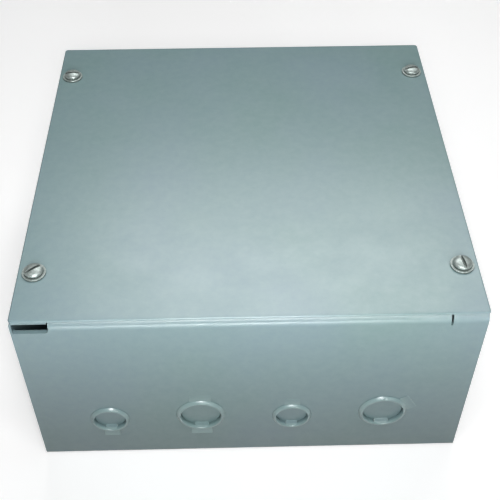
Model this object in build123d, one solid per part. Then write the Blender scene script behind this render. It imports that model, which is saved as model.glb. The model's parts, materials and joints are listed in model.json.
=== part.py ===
from build123d import *
import os

# Electrical junction box: a Type 1 pull box of bent sheet steel with a flat screw cover.
# Millimetres.  +Z points out through the cover, -Y is the front wall, and the origin is
# the centre of the back face, which lies against the wall or bench.

# ---- driving dimensions -------------------------------------------------------------
box_size = 304.8            # 12 in, both across (X) and front to rear (Y)
box_height = 152.4          # 6 in, back face to the top of the flanges
sheet = 1.5                 # 16 gauge steel
bend_radius = 3.0           # outside radius of the tight bends
shoulder_radius = 9.0       # outside radius of the front and rear walls' bends under the cover
seam_gap = 0.1              # between sheets that are spot-welded together

flange_depth = 24.0         # rim that the cover rests on, all round
flange_end = 128.2          # the front and rear flanges stop here, either side of centre
tab_depth = 19.0            # the side panels' welded tabs along the back
upright_tab_depth = 26.0    # and behind the front and rear walls
tab_end_relief = 6.0        # upright tabs start this far above the back
corner_cut_depth = 10.5     # corner cuts in the front and rear walls, below the flange top
corner_cut_rounding = 3.0
corner_slit_width = 1.4     # slit beside a closed corner

cover_corner_radius = 2.5
cover_edge_round = 1.0      # rolled over by the shear that cut the cover
edge_round = 0.35           # other cut edges, softened by the paint
cover_hole_radius = 3.55

screw_x = 141.3             # cover screws: 11 1/8 in across ...
screw_y = 111.1             # ... by 8 3/4 in front to rear
collar_radius = 4.9         # metal drawn down round each tapped hole
collar_height = 3.0
tap_clearance = 0.1         # between a screw's crests and its tapped hole

mounting_hole_spacing = 254.0   # 10 in square
mounting_hole_radius = 3.95     # 5/16 in clearance

ground_x, ground_y = -95.0, 95.0
ground_boss_height = 5.0
ground_boss_top_radius = 9.0
ground_boss_base_radius = 12.0

weld_mark_radius = 2.6
weld_mark_depth = 0.15
weld_inset = 10.0           # weld marks from the box's sides
weld_places = (-110.0, -40.0, 40.0, 110.0)

# A wall's knockouts, seen from outside, left to right.  Each is a slug inside a ring.
# The punch raised the ring into a bead that stands proud of the wall, and pushed the slug in.
# The lower edges of all the rings are in line.
knockout_pitch = 64.9
knockout_row_shift = -2.9   # the row sits this far left of the wall's centre
knockout_foot = 29.9        # lower edge of the rings, above the back
ring_rise = 2.3             # a ring's crest, above the wall
ring_outer_lip = 0.1        # and its edges
ring_inner_lip = 0.6
slug_recess = 1.2           # a slug, below the wall's face
shear_gap = 0.1
half_inch = 22.2 / 2        # knockout radii by conduit trade size
three_quarter = 28.2 / 2
one_inch = 34.9 / 2
tie_heel_height = 0.5       # uncut metal outside a ring, where it meets the ring
flat_tie = {"toe_reach": 4.8, "toe_height": 0.15}
lifted_tie = {"toe_reach": 4.4, "toe_height": 1.5}
tie_end_slope = 0.8         # length of a tie's end, from its toe down to the wall
slug_tie_reach = 3.0        # uncut metal that slopes from a ring down to its slug
slug_tie_angles = (90, 270)
small_knockout = {
    "slug": half_inch, "ring": three_quarter, "wall_tie_width": 11.0, "slug_tie_width": 8.0,
}
large_knockout = {
    "slug": three_quarter, "ring": one_inch, "wall_tie_width": 15.0, "slug_tie_width": 10.0,
}
knockouts = (
    (small_knockout, {270: lifted_tie}),
    (large_knockout, {90: flat_tie, 270: lifted_tie}),
    (small_knockout, {90: flat_tie}),
    (large_knockout, {30: flat_tie}),
)
wall_turns = {"front": 0, "right": 90, "rear": 180, "left": 270}

half_size = box_size / 2
cover_top = box_height + sheet
corner_cut_bottom = box_height - corner_cut_depth
middle_section = Plane(origin=(0, 0, box_height / 2), x_dir=(0, 1, 0), z_dir=(1, 0, 0))

# ---- screws: slotted pan head 1/4-20 on the cover, slotted hex 10-32 for the ground ----
cover_screw = {
    "radius": 3.175, "pitch": 1.27, "length": 12.7, "thread_depth": 0.7,
    "head_radius": 6.25, "head_height": 3.7, "slot_width": 2.2, "slot_depth": 2.1,
}
cover_washer_radius = 7.95
cover_washer_thickness = 1.3
screw_slot_turns = {
    "front_left": 38, "front_right": 100, "rear_left": 3, "rear_right": 12,
}
screw_places = {
    "front_left": (-screw_x, -screw_y),
    "front_right": (screw_x, -screw_y),
    "rear_left": (-screw_x, screw_y),
    "rear_right": (screw_x, screw_y),
}

ground_screw = {
    "radius": 2.413, "pitch": 0.79375, "length": 6.35, "thread_depth": 0.45,
    "hex_across_flats": 7.9, "flange_radius": 5.0, "flange_height": 0.9,
    "head_height": 3.4, "slot_width": 1.2, "slot_depth": 1.3,
}
star_washer_radius = 5.6
star_washer_thickness = 0.6
star_tooth_count = 12
star_tooth_depth = 1.1


def ring_of(outer_radius, inner_radius, height):
    """A flat ring standing on the XY plane."""
    blank = Cylinder(outer_radius, height) - Cylinder(inner_radius, 3 * height)
    return Pos(0, 0, height / 2) * blank


def bent_section(width, height):
    """Outline of a sheet folded into a closed rectangle with tight bends, centred on the origin."""
    outside = RectangleRounded(width, height, bend_radius)
    inside = RectangleRounded(width - 2 * sheet, height - 2 * sheet, bend_radius - sheet)
    return outside - inside


def wrapper_outline(inset):
    """Outline of the body wrapper's section, moved inwards: wide shoulders above, tight bends below."""
    outline = Rectangle(box_size - 2 * inset, box_height - 2 * inset)
    outline = fillet(outline.vertices().group_by(Axis.Y)[-1], shoulder_radius - inset)
    return fillet(outline.vertices().group_by(Axis.Y)[0], bend_radius - inset)


def wall_frame(wall):
    """Local frame of a wall: X to the right seen from outside, Y up, Z outwards."""
    front = Plane(origin=(0, -half_size, 0), x_dir=(1, 0, 0), z_dir=(0, -1, 0))
    return Rot(0, 0, wall_turns[wall]) * front.location


def knockout_place(index):
    """Centre of a knockout in its wall's frame."""
    first = -(len(knockouts) - 1) / 2 * knockout_pitch
    height = knockout_foot + knockouts[index][0]["ring"]
    return Pos(knockout_row_shift + first + index * knockout_pitch, height, 0)


def knockout_holes(wall):
    """Cutters for the openings that a wall's knockouts close."""
    cutters = []
    for index, (size, _) in enumerate(knockouts):
        hole = Cylinder(size["ring"], 4 * sheet)
        cutters.append(wall_frame(wall) * knockout_place(index) * hole)
    return cutters


# ---- box body -----------------------------------------------------------------------
def ground_boss():
    """Raised cone in the back that lifts the ground screw's tip off the wall."""
    height = ground_boss_height + sheet
    base = ground_boss_base_radius
    top = ground_boss_top_radius
    metal = Pos(0, 0, height / 2) * Cone(base, top, height)
    hollow = Pos(0, 0, ground_boss_height / 2) * Cone(base - sheet, top - sheet, ground_boss_height)
    below = Pos(0, 0, -sheet) * Cylinder(base - sheet, 2 * sheet)
    tapped = Cylinder(ground_screw["radius"] + tap_clearance, 4 * height)
    return metal, [hollow, below, tapped]


def corner_cuts():
    """Cutters for the ends of the front flange: an open corner at the left, a slit at the right."""
    deep = 2 * flange_depth + 2
    open_corner = Box(2 * (half_size - flange_end), deep, 2 * corner_cut_depth)
    lower_edges = open_corner.edges().filter_by(Axis.Y).group_by(Axis.Z)[0]
    open_corner = fillet(lower_edges.sort_by(Axis.X)[-1], corner_cut_rounding)
    slit = Box(corner_slit_width, deep, 2 * corner_cut_depth)
    return [
        Pos(-half_size, -half_size, box_height) * open_corner,
        Pos(flange_end + corner_slit_width / 2, -half_size, box_height) * slit,
    ]


def weld_marks():
    """Shallow round marks where the spot welder's tips pressed the back against the side panels."""
    mark = Cylinder(weld_mark_radius, 2 * weld_mark_depth)
    x = half_size - weld_inset
    return [Pos(side * x, y, 0) * mark for side in (-1, 1) for y in weld_places]


def make_body_wrapper():
    """Back, front wall and rear wall with their flanges, folded from one sheet."""
    mouth = Pos(0, box_height / 2) * Rectangle(box_size - 2 * flange_depth, 4 * sheet)
    section = wrapper_outline(0) - wrapper_outline(sheet) - mouth
    body = extrude(middle_section * section, half_size, both=True)

    # The flanges stop short of the side panels' flanges, and only the shoulder reaches the corner.
    corner_width = 2 * (half_size - flange_end)
    flange_corner = Box(corner_width, 2 * (half_size - shoulder_radius), 4 * sheet)
    body -= [Pos(side * half_size, 0, box_height) * flange_corner for side in (-1, 1)]
    for cutter in corner_cuts():
        body -= [cutter, Rot(0, 0, 180) * cutter]

    boss, boss_cutters = ground_boss()
    at_ground = Pos(ground_x, ground_y, 0)
    body += at_ground * boss
    body -= [at_ground * cutter for cutter in boss_cutters]

    mounting_hole = Cylinder(mounting_hole_radius, 4 * sheet)
    mounting_grid = GridLocations(mounting_hole_spacing, mounting_hole_spacing, 2, 2)
    body -= [spot * mounting_hole for spot in mounting_grid]
    body -= knockout_holes("front") + knockout_holes("rear")
    body -= weld_marks()
    return body


def wrapper_clearance():
    """Space that the left panel leaves to the wrapper's front and rear walls and shoulders."""
    walls = Rectangle(2 * box_size, 2 * box_height) - wrapper_outline(sheet + seam_gap)
    between = 2 * (half_size - shoulder_radius - seam_gap)
    walls -= Rectangle(between, 3 * box_height)
    clearance = extrude(middle_section * walls, half_size + 1, both=True)
    ear_height = corner_cut_depth - seam_gap
    open_corner = Box(4 * flange_depth, 4 * shoulder_radius, 2 * ear_height)
    return clearance - Pos(-half_size, -half_size, box_height) * open_corner


def make_left_side_panel():
    """Left wall with its flange, its tab along the back and its upright tabs, from one sheet."""
    panel_bottom = sheet + seam_gap
    panel_height = box_height - panel_bottom
    bend_start = half_size - panel_bottom - bend_radius

    # Section across the panel: flange, wall and the tab along the back.
    upper = Rectangle(flange_depth, panel_height / 2, align=(Align.MIN, Align.MIN))
    lower = Rectangle(tab_depth, panel_height / 2, align=(Align.MIN, Align.MAX))
    section = bent_section(box_size, panel_height) & (Pos(-half_size, 0) * (upper + lower))
    middle = Plane(origin=(0, 0, panel_bottom + panel_height / 2), x_dir=(1, 0, 0), z_dir=(0, -1, 0))
    panel = extrude(middle * section, half_size, both=True)

    # Upright tabs, bent in behind the front and rear walls as high as the corner cuts.
    tab_bottom = sheet + tab_end_relief
    tab_section = bent_section(box_size, 2 * (bend_start + bend_radius))
    corner = Rectangle(upright_tab_depth, bend_radius, align=(Align.MIN, Align.MIN))
    corner = Pos(-half_size, -bend_start - bend_radius) * corner
    tab = extrude(Pos(0, 0, tab_bottom) * (tab_section & corner), corner_cut_bottom - tab_bottom)
    wall_end = Box(4 * upright_tab_depth, 2 * (half_size - bend_start), 2 * corner_cut_bottom)
    panel -= [Pos(-half_size, end * half_size, 0) * wall_end for end in (-1, 1)]
    panel -= wrapper_clearance()
    panel += tab
    panel += mirror(tab, about=Plane.XZ)

    panel -= knockout_holes("left")
    return add_tapped_collars(panel)


def add_tapped_collars(panel):
    """The left panel with a threaded collar under its flange for each cover screw."""
    collar_top = box_height - sheet / 2
    collar_length = collar_height + sheet / 2
    collar = Pos(0, 0, -collar_length / 2) * Cylinder(collar_radius, collar_length)
    tapped = Cylinder(cover_screw["radius"] + tap_clearance, 6 * collar_height)
    for y in (-screw_y, screw_y):
        panel += Pos(-screw_x, y, collar_top) * collar
        panel -= Pos(-screw_x, y, box_height) * tapped
    return panel


def tie_bridge(outline, width):
    """Sloping bridge of uncut metal along local X, from its outline of (radius, height) points."""
    return extrude(Plane.XZ * Polygon(*outline, align=None), width / 2, both=True)


def make_knockout_ring(size, wall_ties):
    """Beaded outer ring of a knockout, with the ties that still hold it and its slug."""
    outer = size["ring"] - shear_gap
    inner = size["slug"]
    underside = ring_outer_lip - sheet
    crown = Bezier(
        (outer, ring_outer_lip), ((outer + inner) / 2, 1.1 * ring_rise),
        (inner, 1.35 * ring_rise), (inner, ring_inner_lip),
    )
    base = Polyline((inner, ring_inner_lip), (inner, underside), (outer, underside), (outer, ring_outer_lip))
    ring = revolve(Plane.XZ * make_face([crown, base]), Axis.Z)

    root = outer - 1.0
    for angle, tie in wall_ties.items():
        toe = outer + tie["toe_reach"]
        wall_slope = [
            (root, 0), (toe + tie_end_slope, 0), (toe, tie["toe_height"]),
            (outer - 0.2, tie_heel_height), (root, tie_heel_height),
        ]
        ring += Rot(0, 0, angle) * tie_bridge(wall_slope, size["wall_tie_width"])

    slug_slope = [
        (inner + 0.5, 0.7 * ring_rise), (inner - slug_tie_reach, -slug_recess),
        (inner - 0.3, -slug_recess), (inner + 0.5, 0.2),
    ]
    slug_tie = tie_bridge(slug_slope, size["slug_tie_width"])
    for angle in slug_tie_angles:
        ring += Rot(0, 0, angle) * slug_tie
    return ring


def make_knockout_slug(size):
    """Centre disc of a knockout, pushed in from the wall's face."""
    slug = Cylinder(size["slug"] - shear_gap, sheet)
    slug = fillet(slug.edges().group_by(Axis.Z)[-1], edge_round)
    return Pos(0, 0, -slug_recess - sheet / 2) * slug


# ---- cover and screws -----------------------------------------------------------------
def make_cover():
    """Flat cover, flush with the walls, with a clearance hole for each screw."""
    cover = extrude(RectangleRounded(box_size, box_size, cover_corner_radius), sheet)
    cover = fillet(cover.faces().sort_by(Axis.Z)[-1].outer_wire().edges(), cover_edge_round)
    cover = Pos(0, 0, box_height) * cover
    hole = Cylinder(cover_hole_radius, 4 * sheet)
    return cover - [Pos(x, y, box_height) * hole for x, y in screw_places.values()]


def threaded_shank(screw):
    """Shank below the XY plane, its thread drawn as one groove per turn."""
    radius = screw["radius"]
    pitch = screw["pitch"]
    root = radius - screw["thread_depth"]
    crest = pitch / 8
    turns = int((screw["length"] - radius / 2) / pitch)
    outline = [(0, 0), (radius, 0)]
    for turn in range(turns):
        top = -turn * pitch - crest
        outline += [(radius, top), (root, top - (pitch - crest) / 2), (radius, top - pitch + crest)]
    outline += [(radius, -screw["length"] + crest), (root, -screw["length"]), (0, -screw["length"])]
    return revolve(Plane.XZ * Polygon(*outline, align=None), Axis.Z)


def driver_slot(screw, top, reach):
    """Cutter for the straight slot across a head whose top is at the given height."""
    depth = screw["slot_depth"]
    return Pos(0, 0, top - depth / 2 + 1) * Box(2 * reach, screw["slot_width"], depth + 2)


def make_cover_screw(slot_turn):
    """Slotted pan head screw with the underside of its head on the XY plane."""
    head_radius = cover_screw["head_radius"]
    height = cover_screw["head_height"]
    flank = height * 0.35
    crown = ThreePointArc((head_radius, flank), (head_radius * 0.72, height * 0.84), (0, height))
    rim = Polyline((0, height), (0, 0), (head_radius, 0), (head_radius, flank))
    head = revolve(Plane.XZ * make_face([crown, rim]), Axis.Z)
    head -= driver_slot(cover_screw, height, 2 * head_radius)
    return Rot(0, 0, slot_turn) * (head + threaded_shank(cover_screw))


def make_cover_washer():
    """Flat washer held captive under a cover screw's head."""
    bore = cover_screw["radius"] + tap_clearance
    washer = ring_of(cover_washer_radius, bore, cover_washer_thickness)
    rims = washer.edges().filter_by(GeomType.CIRCLE).group_by(SortBy.RADIUS)[-1]
    return fillet(rims, edge_round)


def make_ground_screw():
    """Slotted hex washer head screw with the underside of its head on the XY plane."""
    height = ground_screw["head_height"]
    flange = Pos(0, 0, ground_screw["flange_height"] / 2) * Cylinder(
        ground_screw["flange_radius"], ground_screw["flange_height"]
    )
    hexagon = RegularPolygon(ground_screw["hex_across_flats"] / 2, 6, major_radius=False)
    head = flange + extrude(hexagon, height)
    head -= driver_slot(ground_screw, height, 2 * ground_screw["flange_radius"])
    return head + threaded_shank(ground_screw)


def make_star_washer():
    """External-tooth washer that bites through the paint under the ground screw."""
    bore = ground_screw["radius"] + tap_clearance
    washer = ring_of(star_washer_radius, bore, star_washer_thickness)
    gap = Box(2 * star_tooth_depth, 1.2, 4 * star_washer_thickness)
    gaps = [place * gap for place in PolarLocations(star_washer_radius, star_tooth_count)]
    return washer - gaps


def build_nodes():
    """Every sub-part in its place, by node name."""
    left_side_panel = make_left_side_panel()
    nodes = {
        "body_wrapper": make_body_wrapper(),
        "left_side_panel": left_side_panel,
        "right_side_panel": Rot(0, 0, 180) * left_side_panel,
        "cover": make_cover(),
    }

    for index, (size, wall_ties) in enumerate(knockouts):
        ring = make_knockout_ring(size, wall_ties)
        slug = make_knockout_slug(size)
        for wall in wall_turns:
            place = wall_frame(wall) * knockout_place(index)
            nodes[f"{wall}_knockout_{index + 1}_ring"] = place * ring
            nodes[f"{wall}_knockout_{index + 1}_slug"] = place * slug

    washer = make_cover_washer()
    for corner, (x, y) in screw_places.items():
        nodes[f"cover_washer_{corner}"] = Pos(x, y, cover_top) * washer
        seat = Pos(x, y, cover_top + cover_washer_thickness)
        nodes[f"cover_screw_{corner}"] = seat * make_cover_screw(screw_slot_turns[corner])

    boss_top = ground_boss_height + sheet
    nodes["ground_star_washer"] = Pos(ground_x, ground_y, boss_top) * make_star_washer()
    nodes["ground_screw"] = Pos(ground_x, ground_y, boss_top + star_washer_thickness) * make_ground_screw()
    return nodes


os.makedirs("parts", exist_ok=True)
for name, shape in build_nodes().items():
    export_step(shape, f"parts/{name}.step")
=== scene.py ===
import json
import math

import bmesh
import bpy
from mathutils import Euler, Matrix, Vector


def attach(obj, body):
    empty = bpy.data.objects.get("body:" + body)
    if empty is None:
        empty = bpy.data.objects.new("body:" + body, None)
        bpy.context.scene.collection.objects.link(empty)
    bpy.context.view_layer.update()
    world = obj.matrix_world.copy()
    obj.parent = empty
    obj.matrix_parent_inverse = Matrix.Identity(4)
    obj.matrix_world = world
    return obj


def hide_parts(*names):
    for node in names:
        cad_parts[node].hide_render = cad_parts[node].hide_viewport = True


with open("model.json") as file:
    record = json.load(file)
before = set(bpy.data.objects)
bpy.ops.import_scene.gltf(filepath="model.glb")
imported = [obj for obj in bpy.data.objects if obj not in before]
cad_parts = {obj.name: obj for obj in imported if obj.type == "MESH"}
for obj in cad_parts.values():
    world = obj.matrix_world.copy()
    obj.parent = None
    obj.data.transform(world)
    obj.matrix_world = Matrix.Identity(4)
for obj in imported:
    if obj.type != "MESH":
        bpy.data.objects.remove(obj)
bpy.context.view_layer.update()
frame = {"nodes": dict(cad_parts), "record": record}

MM = 0.001
WALL_FACE = 152.4 * MM         # from the middle to a wall's outer face
FINISH_SLOTS = {row["node"]: row["material_slot"] for row in frame["record"]["subparts"]}

# Cover screws: slotted pan head, 1/4-20.
SCREW_X = 141.3 * MM
SCREW_Y = 111.1 * MM
SCREW_SEAT = 155.2 * MM        # underside of the heads
SLOT_TURNS = {"front_left": 38, "front_right": 100, "rear_left": 3, "rear_right": 12}
COVER_SCREW = {
    "radius": 3.16 * MM, "pitch": 1.27 * MM, "length": 12.7 * MM, "thread_depth": 0.72 * MM,
    "head_radius": 6.25 * MM, "head_height": 3.7 * MM, "slot_width": 2.2 * MM, "slot_depth": 2.1 * MM,
}

# Ground screw: slotted hex washer head, 10-32.
GROUND_PLACE = (-95.0 * MM, 95.0 * MM, 7.1 * MM)
GROUND_SCREW = {
    "radius": 2.40 * MM, "pitch": 0.79375 * MM, "length": 6.35 * MM, "thread_depth": 0.46 * MM,
    "hex_across_flats": 7.9 * MM, "flange_radius": 5.0 * MM, "flange_height": 0.9 * MM,
    "head_height": 3.4 * MM, "slot_width": 1.2 * MM, "slot_depth": 1.3 * MM,
}


# Studio.  Each light: name, place, the point it shines at, size (m), power (W), beam (degrees).
OPEN_BEAM = 180
LIGHTS = (
    ("rear_strip", (0, 0.75, 1.1), (0, -0.10, 0.15), (0.8, 0.3), 2.7, OPEN_BEAM),
    ("rear_right", (0.5, 0.65, 1.1), (0, -0.10, 0.15), (0.5, 0.3), 1.9, OPEN_BEAM),
    ("rear_overhead", (0, 0.8, 1.4), (0, 0, 0.10), (0.6, 0.6), 3.4, OPEN_BEAM),
    ("overhead", (0, -0.35, 0.85), (0, -0.10, 0.12), (0.3, 0.1), 1.7, OPEN_BEAM),
    ("by_the_camera", (0, -0.56, 0.60), (0, -0.10, 0.12), (0.12, 0.08), 2.3, OPEN_BEAM),
    ("near_front", (0, -0.60, 0.42), (0, 0, 0.25), (0.4, 0.08), 0.36, 60),
    ("low_strip", (0, -1.1, 0.06), (0, 0, 0.36), (0.9, 0.06), 0.65, 36),
    ("front_right_strip", (0.5, -1.0, 0.48), (0.1, 0, 0.25), (0.4, 0.08), 0.17, 40),
)
FLOOR_SIZE = 8
FLOOR_GLOW = 0.36              # the pale floor is a little brighter than the light that falls on it
SURROUNDINGS_GLOW = 0.02
CAMERA_PLACE = (-8.58 * MM, -509.16 * MM, 581.2 * MM)
CAMERA_TURN = (44.22, 0.064, -1.407)
CAMERA_LENS = 63.7
CAMERA_SENSOR = 36.0


# ---- materials ----------------------------------------------------------------------
class Shader:
    """A short way to write a node tree: every method makes a node and returns its output socket."""

    def __init__(self, name):
        self.material = bpy.data.materials.new(name)
        self.material.use_nodes = True
        self.tree = self.material.node_tree
        self.tree.nodes.clear()
        output = self.add("ShaderNodeOutputMaterial")
        self.surface = self.add("ShaderNodeBsdfPrincipled")
        self.tree.links.new(self.surface.outputs["BSDF"], output.inputs["Surface"])
        self.place = self.add("ShaderNodeTexCoord").outputs["Object"]

    def add(self, kind):
        return self.tree.nodes.new(kind)

    def set(self, socket, value):
        """Gives a socket a number, a colour or another node's output."""
        if isinstance(value, bpy.types.NodeSocket):
            self.tree.links.new(value, socket)
        else:
            socket.default_value = value

    def noise(self, scale, detail=3.0, roughness=0.5):
        node = self.add("ShaderNodeTexNoise")
        self.set(node.inputs["Vector"], self.place)
        node.inputs["Scale"].default_value = scale
        node.inputs["Detail"].default_value = detail
        node.inputs["Roughness"].default_value = roughness
        return node.outputs["Fac"]

    def spread(self, value, low, high, to_low, to_high):
        """Maps low..high to to_low..to_high, clamped."""
        node = self.add("ShaderNodeMapRange")
        self.set(node.inputs["Value"], value)
        limits = {"From Min": low, "From Max": high, "To Min": to_low, "To Max": to_high}
        for socket, number in limits.items():
            node.inputs[socket].default_value = number
        return node.outputs["Result"]

    def math(self, operation, a, b=0.0):
        node = self.add("ShaderNodeMath")
        node.operation = operation
        self.set(node.inputs[0], a)
        self.set(node.inputs[1], b)
        return node.outputs["Value"]

    def mix(self, share, a, b):
        node = self.add("ShaderNodeMix")
        node.data_type = "RGBA"
        self.set(node.inputs["Factor"], share)
        self.set(node.inputs["A"], a)
        self.set(node.inputs["B"], b)
        return node.outputs["Result"]

    def bump(self, height, distance, under=None):
        node = self.add("ShaderNodeBump")
        node.inputs["Distance"].default_value = distance
        self.set(node.inputs["Height"], height)
        if under is not None:
            self.set(node.inputs["Normal"], under)
        return node.outputs["Normal"]

    def edges(self, radius, low=0.80, high=0.97):
        """1 along sharp outer edges, 0 on flat metal."""
        rounded = self.add("ShaderNodeBevel")
        rounded.samples = 4
        rounded.inputs["Radius"].default_value = radius
        turn = self.add("ShaderNodeVectorMath")
        turn.operation = "DOT_PRODUCT"
        self.set(turn.inputs[0], rounded.outputs["Normal"])
        self.set(turn.inputs[1], self.add("ShaderNodeNewGeometry").outputs["Normal"])
        return self.spread(turn.outputs["Value"], low, high, 1, 0)

    def crevices(self, distance, low=0.35, high=0.85):
        """1 deep in grooves and corners, 0 in the open."""
        node = self.add("ShaderNodeAmbientOcclusion")
        node.samples = 6
        node.inputs["Distance"].default_value = distance
        return self.spread(node.outputs["AO"], low, high, 1, 0)

    def off_centre(self):
        """How far a point lies from the box's middle along X and along Y."""
        split = self.add("ShaderNodeSeparateXYZ")
        self.set(split.inputs["Vector"], self.place)
        return self.math("ABSOLUTE", split.outputs["X"]), self.math("ABSOLUTE", split.outputs["Y"])

    def screw_radius(self):
        """Distance from the nearest cover screw's axis."""
        across, along = self.off_centre()
        x = self.math("SUBTRACT", across, SCREW_X)
        y = self.math("SUBTRACT", along, SCREW_Y)
        return self.math("SQRT", self.math("ADD", self.math("MULTIPLY", x, x), self.math("MULTIPLY", y, y)))

    def proud(self):
        """0 on the walls' faces, 1 on metal that stands well proud of them."""
        across, along = self.off_centre()
        rise = self.math("SUBTRACT", self.math("MAXIMUM", across, along), WALL_FACE)
        return self.spread(rise, 0.15 * MM, 0.6 * MM, 0, 1)

    def give(self, **values):
        """Sets the surface shader's sockets, such as base_color=..."""
        names = {s.name.lower().replace(" ", "_"): s for s in self.surface.inputs}
        for name, value in values.items():
            self.set(names[name], value)


def grey_enamel():
    """Blue-grey semi-gloss enamel: a little mottled, orange-peeled, worn along the edges, with painted shade
    in its crevices and a painted highlight, partly wear, on raised metal.
    """
    s = Shader("grey_enamel")
    drift = s.spread(s.noise(11, detail=2), 0.35, 0.65, 0, 1)
    mottle = s.spread(s.noise(150, detail=5, roughness=0.65), 0.32, 0.68, 0, 1)
    flecks = s.spread(s.noise(1300, detail=2), 0.62, 0.74, 0, 0.5)
    colour = s.mix(drift, (0.165, 0.264, 0.262, 1), (0.178, 0.264, 0.292, 1))
    colour = s.mix(s.math("MULTIPLY", mottle, 0.6), colour, (0.205, 0.300, 0.310, 1))
    colour = s.mix(flecks, colour, (0.135, 0.215, 0.220, 1))

    # painted shade: the crevices are darkened, in patches
    painted_crevice_shade = s.math("MULTIPLY", s.crevices(2.0 * MM), s.spread(s.noise(90, detail=4), 0.3, 0.6, 0.15, 0.5))
    colour = s.mix(painted_crevice_shade, colour, (0.045, 0.070, 0.065, 1))

    # painted highlight, partly paint rubbed thin: metal standing proud of the walls is lightened in patches
    lightened = s.math("MULTIPLY", s.proud(), s.spread(s.noise(160, detail=3), 0.35, 0.65, 0.65, 0.95))
    colour = s.mix(lightened, colour, (0.265, 0.375, 0.375, 1))
    edges = s.edges(0.7 * MM)
    thin_paint = s.math("MULTIPLY", edges, s.spread(s.noise(70, detail=4), 0.35, 0.6, 0.1, 0.5))
    colour = s.mix(thin_paint, colour, (0.28, 0.40, 0.39, 1))
    chips = s.math("MULTIPLY", edges, s.spread(s.noise(260, detail=3), 0.66, 0.70, 0, 1))
    colour = s.mix(chips, colour, (0.46, 0.47, 0.46, 1))

    rough = s.spread(s.noise(45, detail=4), 0.3, 0.7, 0.285, 0.34)
    sag = s.bump(s.noise(8, detail=1), 0.5 * MM)
    peel = s.bump(s.noise(900, detail=2), 0.02 * MM, under=sag)
    s.give(base_color=colour, roughness=rough, normal=peel)
    s.give(metallic=s.math("MULTIPLY", chips, 0.9), specular_ior_level=0.8)
    return s.material


def zinc_plate():
    """Dull zinc plate with turning marks and dull blotches; its corners are darkened with painted shade and
    roughened like dirt.
    """
    s = Shader("zinc_plate")
    blotch = s.spread(s.noise(700, detail=4), 0.35, 0.65, 0, 1)
    colour = s.mix(blotch, (0.33, 0.39, 0.37, 1), (0.52, 0.58, 0.56, 1))
    # painted shade: the corners and the screwdriver slot are darkened nearly to black; the same mask roughens
    # them like dirt
    crevice_shade_and_dirt = s.math("MULTIPLY", s.crevices(2.5 * MM, 0.42, 0.88), 0.94)
    colour = s.mix(crevice_shade_and_dirt, colour, (0.015, 0.03, 0.025, 1))
    lightened = s.math("MULTIPLY", s.edges(0.4 * MM), 0.3)
    colour = s.mix(lightened, colour, (0.80, 0.84, 0.82, 1))
    rings = s.math("SINE", s.math("MULTIPLY", s.screw_radius(), 2 * math.pi / (0.32 * MM)))
    turned = s.bump(rings, 0.003 * MM)
    rough = s.spread(s.noise(2200, detail=3), 0.3, 0.7, 0.38, 0.50)
    rough = s.math("ADD", rough, s.math("MULTIPLY", crevice_shade_and_dirt, 0.4))
    s.give(base_color=colour, roughness=rough, metallic=0.65)
    s.give(normal=s.bump(s.noise(2600, detail=2), 0.01 * MM, under=turned))
    return s.material


def green_zinc():
    """Green-dyed zinc, the colour code for ground, rubbed bright on its edges."""
    s = Shader("green_zinc")
    blotch = s.spread(s.noise(700, detail=4), 0.35, 0.65, 0, 1)
    colour = s.mix(blotch, (0.020, 0.180, 0.065, 1), (0.035, 0.290, 0.110, 1))
    # painted shade: the crevices are darkened nearly to black
    colour = s.mix(s.math("MULTIPLY", s.crevices(2.0 * MM), 0.8), colour, (0.004, 0.03, 0.01, 1))
    colour = s.mix(s.math("MULTIPLY", s.edges(0.3 * MM), 0.5), colour, (0.45, 0.60, 0.47, 1))
    rough = s.spread(s.noise(2200, detail=3), 0.3, 0.7, 0.24, 0.38)
    s.give(base_color=colour, roughness=rough, metallic=0.85)
    s.give(normal=s.bump(s.noise(2600, detail=2), 0.008 * MM))
    return s.material


def dress_cad_nodes(finishes):
    for name, node in frame["nodes"].items():
        node.data.materials.clear()
        node.data.materials.append(finishes[FINISH_SLOTS[name]])


# ---- screws -------------------------------------------------------------------------
def add_rings(mesh, rings):
    """Skins a stack of vertex rings, closing both ends with a fan round a centre vertex."""
    rows = [[mesh.verts.new(point) for point in ring] for ring in rings]
    count = len(rows[0])
    for upper, lower in zip(rows, rows[1:]):
        for i in range(count):
            j = (i + 1) % count
            mesh.faces.new((upper[i], upper[j], lower[j], lower[i]))
    for row, flip in ((rows[0], False), (rows[-1], True)):
        centre = mesh.verts.new(sum((v.co for v in row), Vector()) / count)
        for i in range(count):
            fan = [centre, row[(i + 1) % count], row[i]]
            mesh.faces.new(reversed(fan) if flip else fan)


def circle(radius, height, segments):
    return [
        (radius * math.cos(2 * math.pi * i / segments), radius * math.sin(2 * math.pi * i / segments), height)
        for i in range(segments)
    ]


def threaded_ring(screw, depth_below, segments):
    """One ring of the shank at a depth below the head, following the helical thread."""
    fade_in = min(1.0, depth_below / screw["pitch"])
    fade_out = min(1.0, (screw["length"] - depth_below) / (0.6 * screw["pitch"]))
    tip = screw["thread_depth"] * (1 - fade_out)
    ring = []
    for i in range(segments):
        turn = (depth_below / screw["pitch"] + i / segments) % 1
        groove = max(0.0, 1 - abs(2 * turn - 1) * 1.25)
        radius = screw["radius"] - tip - groove * (screw["thread_depth"] - tip) * fade_in
        angle = 2 * math.pi * i / segments
        ring.append((radius * math.cos(angle), radius * math.sin(angle), -depth_below))
    return ring


def pan_head_rings(screw, segments):
    """A domed head, from its crown down to its underside."""
    radius, height = screw["head_radius"], screw["head_height"]
    flank = 0.35 * height
    rings = []
    for step in range(1, 11):
        angle = math.radians(9 * step)
        rings.append(circle(radius * math.sin(angle), flank + (height - flank) * math.cos(angle), segments))
    rings.append(circle(radius, 0.08 * height, segments))
    rings.append(circle(radius * 0.97, 0, segments))
    return rings


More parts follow.
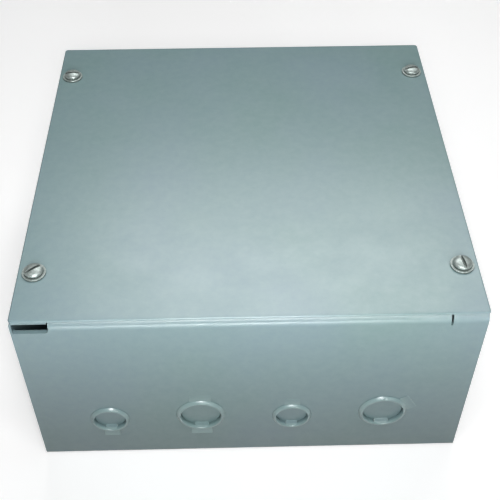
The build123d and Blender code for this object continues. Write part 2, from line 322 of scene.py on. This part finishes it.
def washer_head_rings(screw, segments):
    """The round flange under a hex head."""
    radius, height = screw["flange_radius"], screw["flange_height"]
    return [
        circle(radius * 0.94, height, segments),
        circle(radius, height * 0.6, segments),
        circle(radius, height * 0.1, segments),
        circle(radius * 0.97, 0, segments),
    ]


def hexagon_rings(screw):
    """The hex of a washer head, its upper corners chamfered."""
    corner = screw["hex_across_flats"] / math.sqrt(3)
    top, foot = screw["head_height"], screw["flange_height"] / 2
    return [circle(corner * 0.93, top, 6), circle(corner, top - 0.3 * MM, 6), circle(corner, foot, 6)]


def mesh_object(name, ring_stacks):
    mesh = bmesh.new()
    for rings in ring_stacks:
        add_rings(mesh, rings)
    bmesh.ops.recalc_face_normals(mesh, faces=mesh.faces)
    data = bpy.data.meshes.new(name)
    mesh.to_mesh(data)
    mesh.free()
    thing = bpy.data.objects.new(name, data)
    bpy.context.scene.collection.objects.link(thing)
    return thing


def combine(target, other, operation):
    """Boolean of two objects, kept as the target's own mesh; the other one is removed."""
    step = target.modifiers.new("combine", "BOOLEAN")
    step.operation = operation
    step.object = other
    step.solver = "EXACT"
    bpy.context.view_layer.update()
    shape = target.evaluated_get(bpy.context.evaluated_depsgraph_get())
    result = bpy.data.meshes.new_from_object(shape)
    target.modifiers.clear()
    target.data = result
    bpy.data.objects.remove(other)


def cut_slot(thing, screw, reach):
    """Cuts the screwdriver slot across a head."""
    cutter = bmesh.new()
    bmesh.ops.create_cube(cutter, size=1)
    size = Matrix.Diagonal((2 * reach, screw["slot_width"], 2 * screw["slot_depth"], 1))
    at_crown = Matrix.Translation((0, 0, screw["head_height"]))
    bmesh.ops.transform(cutter, matrix=at_crown @ size, verts=cutter.verts)
    data = bpy.data.meshes.new("slot_cutter")
    cutter.to_mesh(data)
    cutter.free()
    block = bpy.data.objects.new("slot_cutter", data)
    bpy.context.scene.collection.objects.link(block)
    combine(thing, block, "DIFFERENCE")


def finish_screw(thing, place, turn, node, body, finish):
    thing.data.transform(Matrix.Translation(place) @ Matrix.Rotation(math.radians(turn), 4, "Z"))
    softened = thing.modifiers.new("soft_edges", "BEVEL")
    softened.width = 0.12 * MM
    softened.segments = 2
    softened.limit_method = "ANGLE"
    softened.angle_limit = math.radians(40)
    thing.data.shade_smooth()
    thing.data.set_sharp_from_angle(angle=math.radians(38))
    thing.data.materials.clear()
    thing.data.materials.append(finish)
    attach(thing, body)
    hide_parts(node)


def shank_rings(screw, segments, rows_per_turn=12):
    rows = int(screw["length"] / screw["pitch"] * rows_per_turn)
    return [threaded_ring(screw, screw["length"] * row / rows, segments) for row in range(rows + 1)]


def add_cover_screws(finish):
    segments = 64
    for corner, turn in SLOT_TURNS.items():
        node = f"cover_screw_{corner}"
        stack = pan_head_rings(COVER_SCREW, segments) + shank_rings(COVER_SCREW, segments)
        screw = mesh_object(f"{node}_turned", [stack])
        cut_slot(screw, COVER_SCREW, 2 * COVER_SCREW["head_radius"])
        side_x = 1 if "right" in corner else -1
        side_y = 1 if "rear" in corner else -1
        place = (side_x * SCREW_X, side_y * SCREW_Y, SCREW_SEAT)
        finish_screw(screw, place, turn, node, node, finish)


def add_ground_screw(finish):
    segments = 48
    stack = washer_head_rings(GROUND_SCREW, segments) + shank_rings(GROUND_SCREW, segments)
    screw = mesh_object("ground_screw_turned", [stack])
    combine(screw, mesh_object("hexagon", [hexagon_rings(GROUND_SCREW)]), "UNION")
    cut_slot(screw, GROUND_SCREW, 2 * GROUND_SCREW["flange_radius"])
    finish_screw(screw, GROUND_PLACE, 0, "ground_screw", "ground_screw", finish)


# ---- stage --------------------------------------------------------------------------
def add_floor():
    bpy.ops.mesh.primitive_plane_add(size=FLOOR_SIZE, location=(0, 0, 0))
    floor = bpy.context.object
    floor.name = "floor"
    s = Shader("floor_white")
    tone = s.mix(s.noise(3, detail=2), (0.86, 0.86, 0.86, 1), (0.90, 0.90, 0.90, 1))
    s.give(base_color=tone, roughness=0.9, specular_ior_level=0.1)
    s.give(emission_color=(1, 1, 1, 1), emission_strength=FLOOR_GLOW)
    floor.data.materials.append(s.material)
    floor.visible_diffuse = False


def add_area_light(name, place, aim, size, power, beam):
    light = bpy.data.lights.new(name, "AREA")
    light.shape = "RECTANGLE"
    light.size, light.size_y = size
    light.energy = power
    light.spread = math.radians(beam)
    holder = bpy.data.objects.new(name, light)
    holder.location = place
    holder.rotation_euler = (Vector(aim) - Vector(place)).to_track_quat("-Z", "Y").to_euler()
    bpy.context.scene.collection.objects.link(holder)


def add_lights():
    world = bpy.data.worlds.new("studio")
    bpy.context.scene.world = world
    world.use_nodes = True
    world.node_tree.nodes["Background"].inputs["Color"].default_value = (1, 1, 1, 1)
    world.node_tree.nodes["Background"].inputs["Strength"].default_value = SURROUNDINGS_GLOW
    for name, place, aim, size, power, beam in LIGHTS:
        add_area_light(name, place, aim, size, power, beam)


def add_camera():
    camera = bpy.data.cameras.new("camera")
    camera.lens = CAMERA_LENS
    camera.sensor_width = CAMERA_SENSOR
    holder = bpy.data.objects.new("camera", camera)
    holder.location = CAMERA_PLACE
    holder.rotation_euler = Euler([math.radians(angle) for angle in CAMERA_TURN])
    bpy.context.scene.collection.objects.link(holder)
    bpy.context.scene.camera = holder


zinc = zinc_plate()
green = green_zinc()
dress_cad_nodes({"grey_paint": grey_enamel(), "zinc_plated_steel": zinc, "green_ground_screw": green})
add_cover_screws(zinc)
add_ground_screw(green)
add_floor()
add_lights()
add_camera()
bpy.context.scene.view_settings.view_transform = "Standard"
